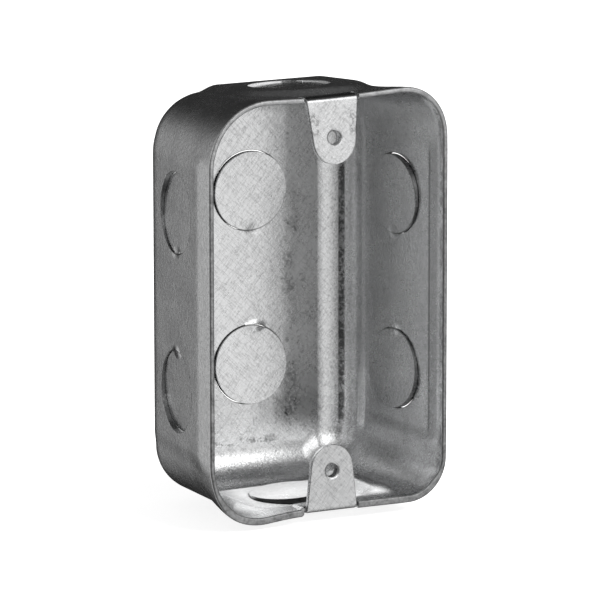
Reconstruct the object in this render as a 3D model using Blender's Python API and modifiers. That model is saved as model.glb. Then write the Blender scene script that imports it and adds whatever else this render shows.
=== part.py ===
"""Drawn steel wall box for a switch or an outlet, pressed from one sheet.

The frame is that of the box on its wall: +Z up, the open front towards -Y, and the
origin at the middle of the back's outer face.
"""
import math

import bmesh
import bpy
import numpy as np
from mathutils import Matrix, Vector

MM = 0.001

# Sheet and cup: the outline is that of the trimmed rim, measured outside
SHEET = 1.6 * MM
BOX_WIDTH = 66.6 * MM
BOX_HEIGHT = 104.0 * MM
BOX_DEPTH = 44.5 * MM
RIM_CORNER_RADIUS = {("right", "top"): 13.0 * MM, ("left", "top"): 16.7 * MM,
                     ("left", "bottom"): 16.4 * MM, ("right", "bottom"): 12.0 * MM}
BACK_CORNER_RADIUS = {"top": 12.7 * MM, "bottom": 10.9 * MM}
BACK_FILLET = 10.6 * MM
SIDE_DRAFT = math.radians(5.4)
END_DRAFT = {"top": math.radians(3.3), "bottom": math.radians(1.2)}
TRIM_ALLOWANCE = 2.0 * MM

# Flats pressed outwards for the knockouts, on the two sides and the two ends
PANEL_FRONT_EDGE = 6.8 * MM
SIDE_PANEL_MARGIN = 17.0 * MM
SIDE_PANEL_RISE = 0.0 * MM
SIDE_PANEL_DRAFT = math.radians(6.0)
SIDE_PANEL_CORNER = 6.0 * MM
SIDE_PANEL_RAMP = 4.5 * MM
END_PANEL_MARGIN = {("right", "top"): 17.5 * MM, ("left", "top"): 20.5 * MM,
                    ("left", "bottom"): 18.4 * MM, ("right", "bottom"): 18.4 * MM}
END_PANEL_RISE = {"top": 1.4 * MM, "bottom": 2.6 * MM}
END_PANEL_DRAFT = {"top": math.radians(3.9), "bottom": math.radians(4.8)}
END_PANEL_CORNER = {"top": 11.8 * MM, "bottom": 6.0 * MM}
END_PANEL_RAMP = {"top": 5.1 * MM, "bottom": 2.6 * MM}

# The pressing is a little out of true: both ends rise to the right, and the rim's four corners
# have sprung out from or in to their level lines, less and less with depth
END_SKEW = math.radians(0.4)
RIM_SPRING = {("right", "top"): 1.1 * MM, ("left", "top"): 0.7 * MM,
              ("left", "bottom"): 3.4 * MM, ("right", "bottom"): 1.1 * MM}
RIM_SPRING_DEPTH = 15.0 * MM
SIGN = {"right": 1.0, "left": -1.0, "top": 1.0, "bottom": -1.0}

# Knockouts: a sheared disc that hangs on one uncut tab and is pushed inwards
KNOCKOUT_HOLE = 21.6 * MM
KNOCKOUT_SPACING = 44.8 * MM
SHEAR_GAP = 0.22 * MM
DISC_SINK_AT_TAB = 0.3 * MM
DISC_TILT = math.radians(2.8)
TAB_WIDTH = 3.4 * MM
TAB_THICKNESS = 1.0 * MM
TAB_GRIP = 0.8 * MM
TOP_TAB_TURN = math.radians(50.0)
BOTTOM_TAB_TURN = math.radians(140.0)

# Ears: two tabs bent inwards from the rim, each with a drawn and tapped hole
EAR_HOLE_SPACING = 83.34 * MM
EAR_PROUD = 0.6 * MM
EAR_SETBACK = 0.9 * MM
EAR_BASE_WIDTH = 14.0 * MM
EAR_TIP_RADIUS = 5.9 * MM
EAR_SHIFT = 0.35 * MM
EAR_REACH = 6.5 * MM
EAR_BEND_RADIUS = 0.8 * MM
UPPER_EAR_LEAN = math.radians(8.0)
LOWER_EAR_LEAN = math.radians(0.0)
NOTCH_WIDTH = 0.9 * MM
NOTCH_DEPTH = 3.2 * MM
EAR_ROOT = 5.4 * MM
TAPPED_BORE = 3.1 * MM
BORE_MOUTH = 4.5 * MM
COLLAR_DIAMETER = 5.2 * MM
COLLAR_HEIGHT = 0.9 * MM

# Facets
FILLET_STEPS = 6
CORNER_STEPS = 8
ROUND_SEGMENTS = 40
SMALL_ROUND_SEGMENTS = 24
CUT_OVERRUN = 2.0 * MM


for leftover in list(bpy.data.objects):
    bpy.data.objects.remove(leftover, do_unlink=True)


def new_collection(name):
    collection = bpy.data.collections.new(name)
    bpy.context.scene.collection.children.link(collection)
    return collection


box_collection = new_collection("wall_box")
cut_tools = new_collection("cut_tools")
trim_tools = new_collection("trim_tools")
joined_forms = new_collection("joined_forms")
bore_tools = new_collection("bore_tools")


def galvanised_steel():
    material = bpy.data.materials.new("galvanised_steel")
    material.use_nodes = True
    shader = material.node_tree.nodes["Principled BSDF"]
    shader.inputs["Base Color"].default_value = (0.60, 0.61, 0.62, 1.0)
    shader.inputs["Metallic"].default_value = 1.0
    shader.inputs["Roughness"].default_value = 0.42
    return material


def object_from_bmesh(bm, name, collection):
    mesh = bpy.data.meshes.new(name)
    bm.to_mesh(mesh)
    bm.free()
    made = bpy.data.objects.new(name, mesh)
    collection.objects.link(made)
    return made


def as_tool(made):
    made.hide_render = True
    made.display_type = "WIRE"
    return made


def depth_to_y(depth):
    """Depths are counted from the rim's plane into the wall; the back's outer face is y = 0."""
    return depth - BOX_DEPTH


# The drawn cup: one quarter of its outer skin, mirrored and given the sheet's thickness

def steps_between(*zones):
    """Stations through the given (start, steps) zones, ending at the last start."""
    stations = [np.linspace(start, end, steps, endpoint=False)
                for (start, steps), (end, _) in zip(zones, zones[1:])]
    return np.append(np.concatenate(stations), zones[-1][0])


def smooth_step(t):
    t = np.clip(t, 0.0, 1.0)
    return t * t * (3.0 - 2.0 * t)


def tangent_depth(draft):
    """Depth at which a wall of this draft runs into the back fillet."""
    return BOX_DEPTH - BACK_FILLET * (1.0 - np.sin(draft))


def fillet_rows(draft):
    """Depths of the fillet's rows and their inset from the wall's end, from the wall to the back."""
    share = (np.arange(FILLET_STEPS) + 1.0)[:, None] / FILLET_STEPS
    turn = draft + share * (math.pi / 2 - draft)
    return BOX_DEPTH - BACK_FILLET * (1.0 - np.sin(turn)), BACK_FILLET * (np.cos(draft) - np.cos(turn))


def cup_section(side_z, end_x, depth, end_draft, rim_radius, back_radius):
    """Quarter of the cup's rounded rectangle at each depth, with the direction of its outward normal.

    The columns keep their height up the side, then share out the corner, then keep their place
    across the end, so the ramps of the pressed flats lie along columns.
    """
    radius = rim_radius + (back_radius - rim_radius) * depth / BOX_DEPTH
    centre_x = BOX_WIDTH / 2 - depth * math.tan(SIDE_DRAFT) - radius
    centre_z = BOX_HEIGHT / 2 - depth * math.tan(end_draft) - radius
    first, last = len(side_z), len(end_x)
    on_side = np.arcsin(np.clip((side_z - centre_z[:, :first]) / radius[:, :first], 0.0, 1.0))
    on_end = np.arccos(np.clip((end_x - centre_x[:, -last:]) / radius[:, -last:], 0.0, 1.0))
    share = (np.arange(CORNER_STEPS - 1) + 1.0) / CORNER_STEPS
    on_corner = on_side[:, -1:] + share * (on_end[:, :1] - on_side[:, -1:])
    angle = np.concatenate([on_side, on_corner, on_end], axis=1)
    x = centre_x + radius * np.cos(angle)
    z = centre_z + radius * np.sin(angle)
    z[:, :first] = side_z
    x[:, -last:] = end_x
    return x, z, angle


def panel_mask(along, depth, half_length, corner, ramp, to_rim):
    """1 on a pressed flat, falling to 0 across its ramp. It has round front corners or runs to the rim."""
    across = np.maximum(np.abs(along) - (half_length - corner), 0.0)
    forward = 0.0 if to_rim else np.maximum(PANEL_FRONT_EDGE + corner - depth, 0.0)
    return smooth_step(1.0 - (np.hypot(across, forward) - corner) / ramp)


def panel_rows(half_size, rise, draft, wall_depths, to_rim):
    """Distance from the middle and depth of a pressed flat's rows, down its plane and into the back.

    A flat that runs to the rim is straight in front of its front edge and leans behind it.
    """
    wall = np.append(wall_depths, tangent_depth(draft))[:, None]
    turned_depth, inset = fillet_rows(draft)
    past_edge = wall - PANEL_FRONT_EDGE
    plane = half_size + rise - (np.maximum(past_edge, 0.0) if to_rim else past_edge) * math.tan(draft)
    return np.concatenate([plane, plane[-1] - inset]), np.concatenate([wall, turned_depth])


def quarter_skin(hand, end_name):
    """Places over one quarter of the outer skin: rows from the rim to the flat back, and columns round it."""
    end_draft = END_DRAFT[end_name]
    side_edge = BOX_HEIGHT / 2 - SIDE_PANEL_MARGIN
    end_edge = BOX_WIDTH / 2 - END_PANEL_MARGIN[hand, end_name]
    end_ramp, end_corner = END_PANEL_RAMP[end_name], END_PANEL_CORNER[end_name]
    radii = RIM_CORNER_RADIUS[hand, end_name], BACK_CORNER_RADIUS[end_name]
    side_z = steps_between((0.0, 1), (side_edge - SIDE_PANEL_CORNER, 4), (side_edge, 3),
                           (side_edge + SIDE_PANEL_RAMP, 0))
    end_x = steps_between((end_edge + end_ramp, 4), (end_edge, 4), (end_edge - end_corner, 1), (0.0, 0))
    wall_depths = steps_between(
        (-TRIM_ALLOWANCE, 1), (PANEL_FRONT_EDGE - max(END_PANEL_RAMP.values()), 5),
        (PANEL_FRONT_EDGE, 4), (PANEL_FRONT_EDGE + max(SIDE_PANEL_CORNER, *END_PANEL_CORNER.values()), 0),
    )

    columns = len(side_z) + CORNER_STEPS - 1 + len(end_x)
    wall = np.repeat(np.append(wall_depths, tangent_depth(SIDE_DRAFT))[:, None], columns, axis=1)
    angle = cup_section(side_z, end_x, wall, end_draft, *radii)[2][-1]
    draft = SIDE_DRAFT + (end_draft - SIDE_DRAFT) * np.sin(angle) ** 2
    wall[-1] = tangent_depth(draft)
    x, z, angle = cup_section(side_z, end_x, wall, end_draft, *radii)
    turned_depth, inset = fillet_rows(draft)
    x = np.concatenate([x, x[-1] - np.cos(angle[-1]) * inset])
    z = np.concatenate([z, z[-1] - np.sin(angle[-1]) * inset])
    depth = np.concatenate([wall, turned_depth])

    last_wall_row = len(wall_depths)
    row = np.minimum(np.arange(len(depth)), last_wall_row)
    wall_x, wall_z = x[last_wall_row], z[last_wall_row]
    side = panel_mask(z[row], wall[row], side_edge, SIDE_PANEL_CORNER, SIDE_PANEL_RAMP, True)
    end = panel_mask(x[row], wall[row], end_edge, end_corner, end_ramp, False)
    side_x, side_depth = panel_rows(BOX_WIDTH / 2, SIDE_PANEL_RISE, SIDE_PANEL_DRAFT, wall_depths, True)
    end_z, end_depth = panel_rows(BOX_HEIGHT / 2, END_PANEL_RISE[end_name], END_PANEL_DRAFT[end_name],
                                  wall_depths, False)
    in_fillet = (np.arange(len(depth)) > last_wall_row)[:, None]
    x = x + side * (side_x - x) + end * np.where(in_fillet, wall_x - x, 0.0)
    z = z + end * (end_z - z) + side * np.where(in_fillet, wall_z - z, 0.0)
    depth = depth + side * (side_depth - depth) + end * (end_depth - depth)

    at_end = smooth_step(z / (BOX_HEIGHT / 2) * 2.0 - 1.0)
    across = np.clip((x - EAR_BASE_WIDTH / 2) / (BOX_WIDTH / 2 - EAR_BASE_WIDTH / 2), 0.0, 1.0)
    sprung = RIM_SPRING[hand, end_name] * across * smooth_step(1.0 - depth / RIM_SPRING_DEPTH)
    skewed = SIGN[hand] * SIGN[end_name] * math.tan(END_SKEW) * x
    z = z + at_end * (sprung + skewed)
    return np.stack([SIGN[hand] * x, depth_to_y(depth), SIGN[end_name] * z], axis=-1)


def outer_skin():
    """The four quarters as one open surface whose normals point into the box."""
    bm = bmesh.new()
    for hand, end_name in RIM_SPRING:
        places = quarter_skin(hand, end_name)
        rows, columns = places.shape[:2]
        grid = bmesh.ops.create_grid(bm, x_segments=columns - 1, y_segments=rows - 1, size=1.0)["verts"]
        for vertex, place in zip(grid, places.reshape(-1, 3)):
            vertex.co = place
        centre = bm.verts.new((0.0, 0.0, 0.0))
        for pair in zip(grid[-columns:], grid[1 - columns:]):
            bm.faces.new((centre, *pair))
    bmesh.ops.remove_doubles(bm, verts=bm.verts, dist=0.00001)
    bmesh.ops.recalc_face_normals(bm, faces=bm.faces)
    bm.normal_update()
    farthest = max(bm.faces, key=lambda face: face.calc_center_median().x)
    if farthest.normal.x > 0.0:
        bmesh.ops.reverse_faces(bm, faces=bm.faces)
    return bm


def drawn_box(material):
    box = object_from_bmesh(outer_skin(), "wall_box", box_collection)
    box.data.materials.append(material)
    sheet = box.modifiers.new("sheet", "SOLIDIFY")
    sheet.thickness = SHEET
    sheet.offset = 1.0
    sheet.use_even_offset = True
    for name, operation, tools in (
        ("trim, notches and holes", "DIFFERENCE", cut_tools),
        ("ears and knockout discs", "UNION", joined_forms),
        ("tapped bores", "DIFFERENCE", bore_tools),
    ):
        step = box.modifiers.new(name, "BOOLEAN")
        step.solver = "EXACT"
        step.operand_type = "COLLECTION"
        step.operation = operation
        step.collection = tools
    return box


# Plain forms that cut or join the sheet

def axes_frame(axis_x, axis_y, axis_z, origin):
    frame = Matrix((axis_x, axis_y, axis_z)).transposed().to_4x4()
    frame.translation = origin
    return frame


def block(name, low, high, collection, frame=Matrix()):
    low, high = Vector(low), Vector(high)
    bm = bmesh.new()
    bmesh.ops.create_cube(bm, size=1.0)
    bmesh.ops.scale(bm, verts=bm.verts, vec=high - low)
    bmesh.ops.translate(bm, verts=bm.verts, vec=(high + low) / 2)
    bm.transform(frame)
    return as_tool(object_from_bmesh(bm, name, collection))


def cylinder(name, diameter, low, high, segments, collection, frame=Matrix()):
    """A cylinder along the frame's z axis, from low to high, whose flats and not edges face x and y."""
    bm = bmesh.new()
    bmesh.ops.create_cone(bm, cap_ends=True, segments=segments, radius1=diameter / 2,
                          radius2=diameter / 2, depth=high - low)
    bmesh.ops.translate(bm, verts=bm.verts, vec=(0.0, 0.0, (high + low) / 2))
    bm.transform(frame @ Matrix.Rotation(math.pi / segments, 4, "Z"))
    return as_tool(object_from_bmesh(bm, name, collection))


def extruded_outline(name, points, thickness, collection, frame):
    """A flat outline in the frame's xy plane, filled and thickened evenly to both sides."""
    curve = bpy.data.curves.new(name, "CURVE")
    curve.dimensions = "2D"
    curve.fill_mode = "BOTH"
    curve.extrude = thickness / 2
    spline = curve.splines.new("POLY")
    spline.points.add(len(points) - 1)
    for point, (x, y) in zip(spline.points, points):
        point.co = (x, y, 0.0, 1.0)
    spline.use_cyclic_u = True
    drawn = bpy.data.objects.new(name, curve)
    collection.objects.link(drawn)
    bpy.context.view_layer.update()
    evaluated = drawn.evaluated_get(bpy.context.evaluated_depsgraph_get())
    mesh = bpy.data.meshes.new_from_object(evaluated)
    bpy.data.objects.remove(drawn, do_unlink=True)
    bm = bmesh.new()
    bm.from_mesh(mesh)
    bmesh.ops.remove_doubles(bm, verts=bm.verts, dist=0.000001)
    bmesh.ops.recalc_face_normals(bm, faces=bm.faces)
    bm.transform(frame)
    return as_tool(object_from_bmesh(bm, name, collection))


# Knockouts

def knockout_frame(x, depth, z, outward, to_tab):
    """Origin on the flat's outer face, z axis outwards, x axis towards the disc's tab."""
    axis_z = Vector(outward).normalized()
    axis_x = (Vector(to_tab) - axis_z * axis_z.dot(Vector(to_tab))).normalized()
    return axes_frame(axis_x, axis_z.cross(axis_x), axis_z, (x, depth_to_y(depth), z))


def knockout_frames():
    depth = (BOX_DEPTH - SHEET) / 2
    height = KNOCKOUT_SPACING / 2

    def out_from_middle(half_size, rise, draft):
        return half_size + rise - (depth - PANEL_FRONT_EDGE) * math.tan(draft)

    side_x = out_from_middle(BOX_WIDTH / 2, SIDE_PANEL_RISE, SIDE_PANEL_DRAFT)
    side_lean = math.sin(SIDE_PANEL_DRAFT)
    frames = {}
    for level, sign in (("upper", 1.0), ("lower", -1.0)):
        to_middle = (0.0, 0.0, -sign)
        frames["back_" + level] = knockout_frame(
            0.0, BOX_DEPTH, sign * height, (0.0, 1.0, 0.0), to_middle)
        for hand, side in (("left", -1.0), ("right", 1.0)):
            frames[hand + "_" + level] = knockout_frame(
                side * side_x, depth, sign * height,
                (side * math.cos(SIDE_PANEL_DRAFT), side_lean, 0.0), to_middle)
    for name, turn in (("top", TOP_TAB_TURN), ("bottom", BOTTOM_TAB_TURN)):
        draft = END_PANEL_DRAFT[name]
        end_z = out_from_middle(BOX_HEIGHT / 2, END_PANEL_RISE[name], draft)
        frames[name] = knockout_frame(
            0.0, depth, SIGN[name] * end_z,
            (-SIGN[name] * math.tan(END_SKEW), math.tan(draft), SIGN[name]),
            (math.cos(turn), math.sin(turn), 0.0))
    return frames


def add_knockout(name, frame):
    """Cut the round hole, then hang the smaller disc in it by its tab."""
    hole_radius = KNOCKOUT_HOLE / 2
    cylinder(name + "_hole", KNOCKOUT_HOLE, -SHEET - CUT_OVERRUN, CUT_OVERRUN,
             ROUND_SEGMENTS, cut_tools, frame)
    hinge = Matrix.Translation((hole_radius, 0.0, -DISC_SINK_AT_TAB))
    swing = frame @ hinge @ Matrix.Rotation(-DISC_TILT, 4, "Y") @ Matrix.Translation((-hole_radius, 0.0, 0.0))
    cylinder(name + "_disc", KNOCKOUT_HOLE - 2 * SHEAR_GAP, -SHEET, 0.0,
             ROUND_SEGMENTS, joined_forms, swing)
    middle = -(SHEET + DISC_SINK_AT_TAB) / 2
    block(name + "_tab",
          (hole_radius - SHEAR_GAP - TAB_GRIP, -TAB_WIDTH / 2, middle - TAB_THICKNESS / 2),
          (hole_radius + TAB_GRIP, TAB_WIDTH / 2, middle + TAB_THICKNESS / 2),
          joined_forms, frame)


# Ears

def ear_outline():
    """Front view of the upper ear: wide at its bend, leaning in to a round tip. x right, y up."""
    tip_centre = EAR_HOLE_SPACING / 2 - EAR_REACH + EAR_TIP_RADIUS
    base = EAR_BASE_WIDTH / 2
    bend_end = BOX_HEIGHT / 2 - EAR_SETBACK - SHEET - EAR_BEND_RADIUS
    top = BOX_HEIGHT / 2 + CUT_OVERRUN
    rise = bend_end - tip_centre
    start = math.atan2(rise, base) - math.acos(EAR_TIP_RADIUS / math.hypot(rise, base))
    turns = np.linspace(start, -math.pi - start, SMALL_ROUND_SEGMENTS // 2 + 1)
    arc = [(EAR_TIP_RADIUS * math.cos(t), tip_centre + EAR_TIP_RADIUS * math.sin(t)) for t in turns]
    return [(base, top), (base, bend_end)] + arc + [(-base, bend_end), (-base, top)]


def ear_profile(lean):
    """Section of the upper ear, x as depth from its front face and y up: leg, bend and plate.

    lean is how far the bend falls short of a right angle, which leaves the tip further forward.
    """
    outer = BOX_HEIGHT / 2 - EAR_SETBACK
    outer_radius = EAR_BEND_RADIUS + SHEET
    plate = outer - outer_radius - (EAR_HOLE_SPACING / 2 - EAR_REACH) + CUT_OVERRUN
    turns = np.linspace(math.pi / 2, math.pi - lean, 6)

    def bend(radius, order):
        return [(outer_radius + radius * math.cos(t), outer - outer_radius + radius * math.sin(t)) for t in order]

    front, back = bend(outer_radius, turns), bend(EAR_BEND_RADIUS, turns[::-1])
    tip = Vector((-math.sin(lean), -math.cos(lean))) * plate
    root = EAR_ROOT + EAR_PROUD
    return ([(root, outer)] + front + [Vector(front[-1]) + tip, Vector(back[0]) + tip]
            + back + [(root, outer - SHEET)])


def add_ear(name, turn, lean):
    """Bent strip cut to the ear's outline, with a collar drawn out behind its tapped bore."""
    front = -BOX_DEPTH - EAR_PROUD
    right, up, inwards = Vector((1.0, 0.0, 0.0)), Vector((0.0, 0.0, 1.0)), Vector((0.0, 1.0, 0.0))
    section = axes_frame(inwards, up, right, (0.0, front, 0.0))
    strip = extruded_outline(name, ear_profile(lean), EAR_BASE_WIDTH + CUT_OVERRUN, joined_forms, turn @ section)
    face = axes_frame(right, up, -inwards, (0.0, -BOX_DEPTH / 2, 0.0))
    outline = extruded_outline(name + "_outline", ear_outline(), 2 * BOX_DEPTH, trim_tools, turn @ face)
    shape = strip.modifiers.new("outline", "BOOLEAN")
    shape.solver = "EXACT"
    shape.operation = "INTERSECT"
    shape.object = outline

    bend_radius = EAR_BEND_RADIUS + SHEET
    bend_centre = Vector((0.0, front + bend_radius, BOX_HEIGHT / 2 - EAR_SETBACK - bend_radius))
    leaned = Matrix.Translation(bend_centre) @ Matrix.Rotation(-lean, 4, "X") @ Matrix.Translation(-bend_centre)
    hole = turn @ leaned @ axes_frame(right, -up, inwards, (0.0, front, EAR_HOLE_SPACING / 2))
    cylinder(name + "_collar", COLLAR_DIAMETER, SHEET / 2, SHEET + COLLAR_HEIGHT,
             SMALL_ROUND_SEGMENTS, joined_forms, hole)
    as_tool(bore_tool(name + "_bore", hole))

    half_window = EAR_BASE_WIDTH / 2 + NOTCH_WIDTH
    block(name + "_notches", (-half_window, -BOX_DEPTH - CUT_OVERRUN, BOX_HEIGHT / 2 - 3 * SHEET),
          (half_window, -BOX_DEPTH + NOTCH_DEPTH, BOX_HEIGHT / 2 + 2 * SHEET), cut_tools, turn)


def bore_tool(name, frame):
    """A turned cutter: a straight bore whose mouth opens out along a quarter round."""
    bore = TAPPED_BORE / 2
    lip = (BORE_MOUTH - TAPPED_BORE) / 2
    turns = np.linspace(0.0, math.pi / 2, 5)
    profile = [(bore + lip, -CUT_OVERRUN)]
    profile += [(bore + lip - lip * math.sin(t), lip - lip * math.cos(t)) for t in turns]
    profile += [(bore, SHEET + COLLAR_HEIGHT + CUT_OVERRUN)]
    bm = bmesh.new()
    ring = [bm.verts.new((r, 0.0, h)) for r, h in [(0.0, profile[0][1])] + profile + [(0.0, profile[-1][1])]]
    edges = [bm.edges.new(pair) for pair in zip(ring, ring[1:])]
    bmesh.ops.spin(bm, geom=ring + edges, cent=(0.0, 0.0, 0.0), axis=(0.0, 0.0, 1.0),
                   angle=2 * math.pi, steps=SMALL_ROUND_SEGMENTS, use_merge=True)
    bmesh.ops.remove_doubles(bm, verts=bm.verts, dist=0.000001)
    bmesh.ops.recalc_face_normals(bm, faces=bm.faces)
    bm.transform(frame)
    return object_from_bmesh(bm, name, bore_tools)


def trim_rim():
    """The press trims the drawn cup to a level rim."""
    reach = BOX_HEIGHT
    block("rim_trim", (-reach, -BOX_DEPTH - 4 * TRIM_ALLOWANCE, -reach), (reach, -BOX_DEPTH, reach), cut_tools)


trim_rim()
for knockout_name, knockout_place in knockout_frames().items():
    add_knockout(knockout_name, knockout_place)
ear_shift = Matrix.Translation((EAR_SHIFT, 0.0, 0.0))
add_ear("upper_ear", ear_shift, UPPER_EAR_LEAN)
add_ear("lower_ear", ear_shift @ Matrix.Rotation(math.pi, 4, "Y"), LOWER_EAR_LEAN)
drawn_box(galvanised_steel())
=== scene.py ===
import math

import bmesh
import bpy
import numpy as np
from mathutils import Matrix, Vector


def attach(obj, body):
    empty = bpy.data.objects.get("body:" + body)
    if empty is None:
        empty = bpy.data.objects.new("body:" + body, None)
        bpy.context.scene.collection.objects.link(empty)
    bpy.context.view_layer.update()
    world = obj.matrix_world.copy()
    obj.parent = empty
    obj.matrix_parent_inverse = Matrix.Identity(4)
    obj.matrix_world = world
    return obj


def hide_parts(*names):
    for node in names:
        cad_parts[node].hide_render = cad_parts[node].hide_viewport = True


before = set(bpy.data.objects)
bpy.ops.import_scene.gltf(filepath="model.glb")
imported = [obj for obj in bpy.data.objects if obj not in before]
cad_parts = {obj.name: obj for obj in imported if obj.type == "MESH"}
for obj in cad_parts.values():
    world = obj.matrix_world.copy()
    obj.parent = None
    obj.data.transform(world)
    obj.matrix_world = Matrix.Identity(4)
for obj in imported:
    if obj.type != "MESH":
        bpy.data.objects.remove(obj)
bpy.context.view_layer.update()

# The studio. A white sweep lies under and behind the box, a wide soft panel stands in front on the
# right, and grey cards behind, above and at the left keep the steel dark where it faces them. The
# camera is a long lens to the left of the open front and a little above it.
MM = 0.001
CAMERA_AZIMUTH = math.radians(28.6)
CAMERA_ELEVATION = math.radians(10.8)
CAMERA_DISTANCE = 1245 * MM
CAMERA_LENS = 303.5
CAMERA_SHIFT = (-0.0508, 0.0088)
RIM_CENTRE = Vector((0.0, -44.5 * MM, 0.0))
FLOOR_HEIGHT = -55.0 * MM
FLOOR_REACH = 4.0
DOME_RADIUS = 5.0

towards_camera = Vector((-math.sin(CAMERA_AZIMUTH) * math.cos(CAMERA_ELEVATION),
                         -math.cos(CAMERA_AZIMUTH) * math.cos(CAMERA_ELEVATION),
                         math.sin(CAMERA_ELEVATION)))
camera_data = bpy.data.cameras.new("camera")
camera_data.lens = CAMERA_LENS
camera_data.shift_x, camera_data.shift_y = CAMERA_SHIFT
camera_data.clip_end = 100.0
camera = bpy.data.objects.new("camera", camera_data)
bpy.context.scene.collection.objects.link(camera)
camera.location = RIM_CENTRE + towards_camera * CAMERA_DISTANCE
camera.rotation_euler = (-towards_camera).to_track_quat("-Z", "Y").to_euler()
bpy.context.scene.camera = camera
bpy.context.scene.view_settings.view_transform = "Standard"


class Socket:
    """A shader socket that adds Math nodes when it is used in a sum or a product."""

    def __init__(self, tree, link):
        self.tree, self.link = tree, link

    def math(self, operation, *others):
        return node(self.tree, "ShaderNodeMath", {"operation": operation}, {
            i: value for i, value in enumerate((self, *others))})

    def __add__(self, other): return self.math("ADD", other)
    def __radd__(self, other): return self.math("ADD", other)
    def __mul__(self, other): return self.math("MULTIPLY", other)
    def __rmul__(self, other): return self.math("MULTIPLY", other)
    def __sub__(self, other): return self.math("SUBTRACT", other)
    def __rsub__(self, other): return (self * -1.0) + other
    def __truediv__(self, other): return self.math("DIVIDE", other)
    def __pow__(self, other): return self.math("POWER", other)
    def clamp(self): return node(self.tree, "ShaderNodeClamp", {}, {"Value": self})
    def absolute(self): return self.math("ABSOLUTE")

    def mix(self, low, high):
        """low where this is 0, high where it is 1."""
        return node(self.tree, "ShaderNodeMix", {}, {"Factor": self, "A": low, "B": high})

    def step(self, low, high):
        """0 under low, 1 over high, and a smooth rise between them."""
        return node(self.tree, "ShaderNodeMapRange", {"interpolation_type": "SMOOTHSTEP"},
                    {"Value": self, "From Min": low, "From Max": high})

    def within(self, rise, full, fading, gone):
        """A band: 0 up to rise, 1 from full to fading, and 0 again past gone."""
        return self.step(rise, full) * (1.0 - self.step(fading, gone))

    def under(self, full, gone):
        """1 up to full, falling smoothly to 0 at gone."""
        return 1.0 - self.step(full, gone)


def node(tree, kind, settings, inputs, output=0):
    """Add a node, set it, feed its sockets, and hand back one of its outputs."""
    made = tree.nodes.new(kind)
    for name, value in settings.items():
        if name == "stops":
            stops = made.color_ramp.elements
            stops.remove(stops[1])
            stops[0].position, stops[0].color = value[0]
            for place, colour in value[1:]:
                stops.new(place).color = colour
        else:
            setattr(made, name, value)
    for name, value in inputs.items():
        if isinstance(value, Socket):
            tree.links.new(value.link, made.inputs[name])
        else:
            made.inputs[name].default_value = value
    return Socket(tree, made.outputs[output]) if len(made.outputs) else None


def seen_or_mirrored(tree):
    """1 for rays that come from the camera, a mirror or a glass."""
    rays = [node(tree, "ShaderNodeLightPath", {}, {}, name)
            for name in ("Is Camera Ray", "Is Glossy Ray", "Is Transmission Ray")]
    return (rays[0] + rays[1] + rays[2]).clamp()


world = bpy.data.worlds.new("studio")
bpy.context.scene.world = world
world.use_nodes = True
tree = world.node_tree
tree.nodes.clear()
white = node(tree, "ShaderNodeBackground", {}, {"Color": (1.0, 1.0, 1.0, 1.0), "Strength": 1.0})
fill = node(tree, "ShaderNodeBackground", {}, {"Color": (1.0, 1.0, 1.0, 1.0), "Strength": 0.5})
sky = node(tree, "ShaderNodeMixShader", {}, {0: seen_or_mirrored(tree), 1: fill, 2: white})
node(tree, "ShaderNodeOutputWorld", {}, {"Surface": sky})


# Tone of the studio round the box at eye level, by bearing: 0 is straight in front of the open
# side, positive to the right. Soft boxes in front and on the right, a dark gap at the left of the
# camera, a half-lit paper sweep at the left and dark felt behind.
STUDIO = [(-180, 0.08), (-168, 0.14), (-163, 0.27), (-153, 0.68), (-130, 0.78), (-117, 0.62),
          (-108, 0.30), (-90, 0.35), (-72, 0.27), (-62, 0.18), (-57, 0.03), (-46, 0.02),
          (-40, 0.30), (-30, 0.52), (-16, 0.78), (-5, 0.98), (12, 1.08), (28, 1.15),
          (40, 1.10), (50, 0.55), (85, 0.40), (110, 0.20), (140, 0.04), (160, 0.03)]

bm = bmesh.new()
bmesh.ops.create_uvsphere(bm, u_segments=64, v_segments=32, radius=DOME_RADIUS)
bmesh.ops.reverse_faces(bm, faces=bm.faces)
dome_mesh = bpy.data.meshes.new("studio_dome")
bm.to_mesh(dome_mesh)
bm.free()
dome = bpy.data.objects.new("studio_dome", dome_mesh)
bpy.context.scene.collection.objects.link(dome)
dome.visible_camera = dome.visible_diffuse = dome.visible_shadow = False
dome_light = bpy.data.materials.new("studio_dome")
dome_light.use_nodes = True
tree = dome_light.node_tree
tree.nodes.clear()
way = node(tree, "ShaderNodeTexCoord", {}, {}, "Object")
flat = node(tree, "ShaderNodeVectorMath", {"operation": "NORMALIZE"}, {0: way})
east = node(tree, "ShaderNodeSeparateXYZ", {}, {0: flat}, "X")
north = node(tree, "ShaderNodeSeparateXYZ", {}, {0: flat}, "Y")
up = node(tree, "ShaderNodeSeparateXYZ", {}, {0: flat}, "Z")
bearing = east.math("ARCTAN2", north * -1.0) * (180 / math.pi)
height = up.math("ARCSINE") * (180 / math.pi)
level = node(tree, "ShaderNodeValToRGB", {"stops": [
    ((at + 180) / 360, (tone, tone, tone, 1.0)) for at, tone in STUDIO]}, {0: (bearing + 180.0) / 360.0})
behind = bearing.absolute().step(95.0, 125.0)
on_left = bearing.under(-60.0, -30.0)
raised = behind.mix(height.step(38.0, 58.0), height.step(-6.0 + 20.0 * on_left, 8.0 + 30.0 * on_left))
above = behind.mix(0.45, 0.03 + 0.07 * height.step(25.0, 45.0))
key = 1.0 + 1.3 * height.step(11.0, 20.0) * (1.0 - behind)
glow = node(tree, "ShaderNodeEmission", {}, {"Color": raised.mix(level * key, above), "Strength": 0.80})
node(tree, "ShaderNodeOutputMaterial", {}, {"Surface": glow})
dome_mesh.materials.append(dome_light)

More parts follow.
